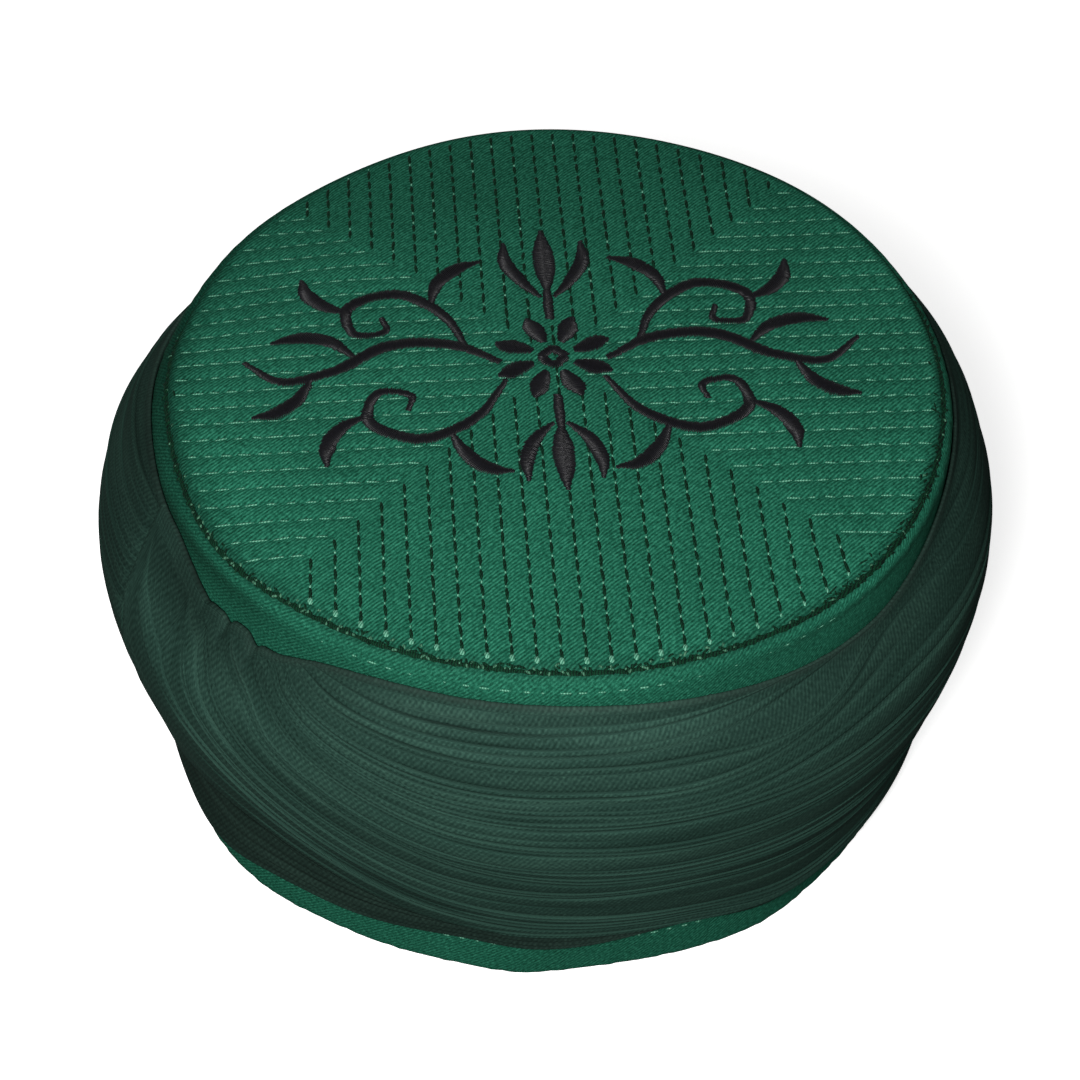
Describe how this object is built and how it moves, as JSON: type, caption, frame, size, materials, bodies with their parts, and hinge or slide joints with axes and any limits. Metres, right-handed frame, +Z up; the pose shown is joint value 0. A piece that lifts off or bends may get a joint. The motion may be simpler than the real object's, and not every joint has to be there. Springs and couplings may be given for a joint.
{
  "type": "wrapped pillbox cap",
  "caption": "Round flat-topped cloth cap with a quilted crown, a tapered side wall and a pleated strip of dark cloth wound round it as a turban.",
  "frame": {"origin": "centre of the cap's outline at the rim, on the surface that the cap stands on", "axes": "+Z up through the crown, the front with the sweeping pleats faces -Y, +X to the right as seen from the front"},
  "size_m": [0.2064, 0.2031, 0.0988],
  "materials": {
    "crown_twill": "green diagonal twill, quilted",
    "wall_twill": "green diagonal twill",
    "wrap_cloth": "fine dark green weave with a soft sheen",
    "dark_thread": "dark sewing and embroidery thread",
    "light_thread": "light yellow-green sewing thread"
  },
  "bodies": {
    "root": {"crown_disc": "crown_twill", "side_wall": "wall_twill", "wrap_under_turn": "wrap_cloth", "wrap_over_turn": "wrap_cloth"}
  },
  "joints": []
}
